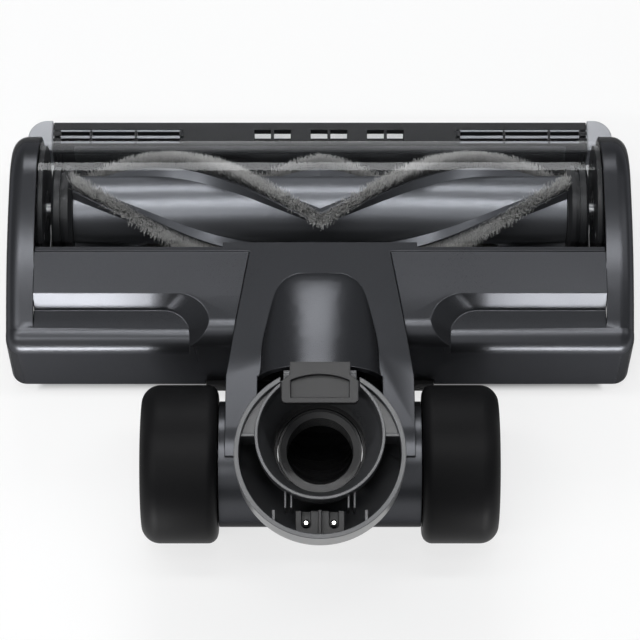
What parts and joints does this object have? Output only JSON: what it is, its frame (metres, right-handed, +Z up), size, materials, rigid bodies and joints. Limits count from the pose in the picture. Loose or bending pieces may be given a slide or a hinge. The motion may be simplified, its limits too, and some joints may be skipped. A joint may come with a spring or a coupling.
{
  "type": "vacuum floor brush head",
  "caption": "Powered vacuum floor head with a chevron brush roller behind a clear window, stepped covers, a pitching and turning neck with a wand socket, a release latch and large rear wheels.",
  "frame": {"origin": "on the floor, in the middle of the outer box", "axes": "+X along the brush roller, +Y to the front edge, +Z up"},
  "size_m": [0.25, 0.2184, 0.1223],
  "materials": {
    "gunmetal": "satin metallic moulding",
    "light_grey": "fine satin",
    "clear": "clear polycarbonate",
    "black": "matte moulding",
    "neck_grey": "satin moulding",
    "bristle": "soft nylon bristles",
    "drum": "satin metallic moulding",
    "tyre_black": "matte rubber",
    "steel": "ground",
    "motor_can": "zinc plated",
    "brass": "plated",
    "felt": "short pile",
    "board_green": "solder mask",
    "belt_rubber": "moulded"
  },
  "bodies": {
    "head": {"cover_left": "gunmetal", "cover_right": "gunmetal", "saddle_cover": "gunmetal", "brush_window": "clear", "front_bar": "black", "corner_bumper_left": "light_grey", "corner_bumper_right": "light_grey", "base_housing": "black", "barrel_cradle": "black", "suction_duct": "black", "sole_plate": "black", "sole_seal": "felt", "glide_pads": "felt", "sole_roller_pins": "steel", "sole_screws": "steel", "end_plate_left": "black", "end_plate_right": "black", "roller_bearings": "steel", "brush_motor": "motor_can", "motor_clamp": "black", "drive_belt": "belt_rubber", "control_board": "board_green", "inner_hose": "black"},
    "brush_roller": {"roller_drum": "drum", "bristle_strips": "bristle", "roller_end_disc_left": "black", "roller_end_disc_right": "black", "roller_shaft": "steel", "roller_pulley": "black"},
    "motor_rotor": {"motor_shaft": "steel", "motor_pulley": "steel"},
    "neck": {"neck_barrel": "gunmetal", "wheel_axles": "steel", "hose_cuff": "black"},
    "neck_swivel": {"neck_cup": "neck_grey", "latch_pin": "steel", "contact_block": "black", "contact_pins": "brass"},
    "latch": {"release_latch": "black"},
    "wheel_left": {"tyre_left": "tyre_black", "wheel_hub_left": "black", "hub_cap_left": "gunmetal"},
    "wheel_right": {"tyre_right": "tyre_black", "wheel_hub_right": "black", "hub_cap_right": "gunmetal"},
    "small_roller_left": {"sole_roller_left": "light_grey"},
    "small_roller_right": {"sole_roller_right": "light_grey"}
  },
  "joints": [
    {"name": "roller_spin", "type": "hinge", "parent": "head", "child": "brush_roller", "pos_m": [0, 0.06485, 0.0245], "axis": [1, 0, 0], "continuous": true},
    {"name": "motor_spin", "type": "hinge", "parent": "head", "child": "motor_rotor", "pos_m": [0, 0.01735, 0.0245], "axis": [1, 0, 0], "continuous": true},
    {"name": "neck_pitch", "type": "hinge", "parent": "head", "child": "neck", "pos_m": [0, -0.05015, 0.031], "axis": [1, 0, 0], "range_deg": [-12, 60], "deforming": ["inner_hose"]},
    {"name": "neck_turn", "type": "hinge", "parent": "neck", "child": "neck_swivel", "pos_m": [0, -0.06102, 0.07157], "axis": [0, -0.2588, 0.9659], "range_deg": [-35, 35]},
    {"name": "latch_tip", "type": "hinge", "parent": "neck_swivel", "child": "latch", "pos_m": [0, -0.04034, 0.09368], "axis": [-1, 0, 0], "range_deg": [0, 16], "stiffness_Nm_per_rad": 0.05, "springref_deg": -17.19},
    {"name": "wheel_left_spin", "type": "hinge", "parent": "neck", "child": "wheel_left", "pos_m": [-0.0546, -0.05015, 0.031], "axis": [1, 0, 0], "continuous": true},
    {"name": "wheel_right_spin", "type": "hinge", "parent": "neck", "child": "wheel_right", "pos_m": [0.0546, -0.05015, 0.031], "axis": [1, 0, 0], "continuous": true},
    {"name": "small_roller_left_spin", "type": "hinge", "parent": "head", "child": "small_roller_left", "pos_m": [-0.052, 0.02885, 0.0047], "axis": [1, 0, 0], "continuous": true},
    {"name": "small_roller_right_spin", "type": "hinge", "parent": "head", "child": "small_roller_right", "pos_m": [0.052, 0.02885, 0.0047], "axis": [1, 0, 0], "continuous": true}
  ],
  "couplings": [
    {"joint": "motor_spin", "follows": "roller_spin", "ratio": 1.8}
  ]
}
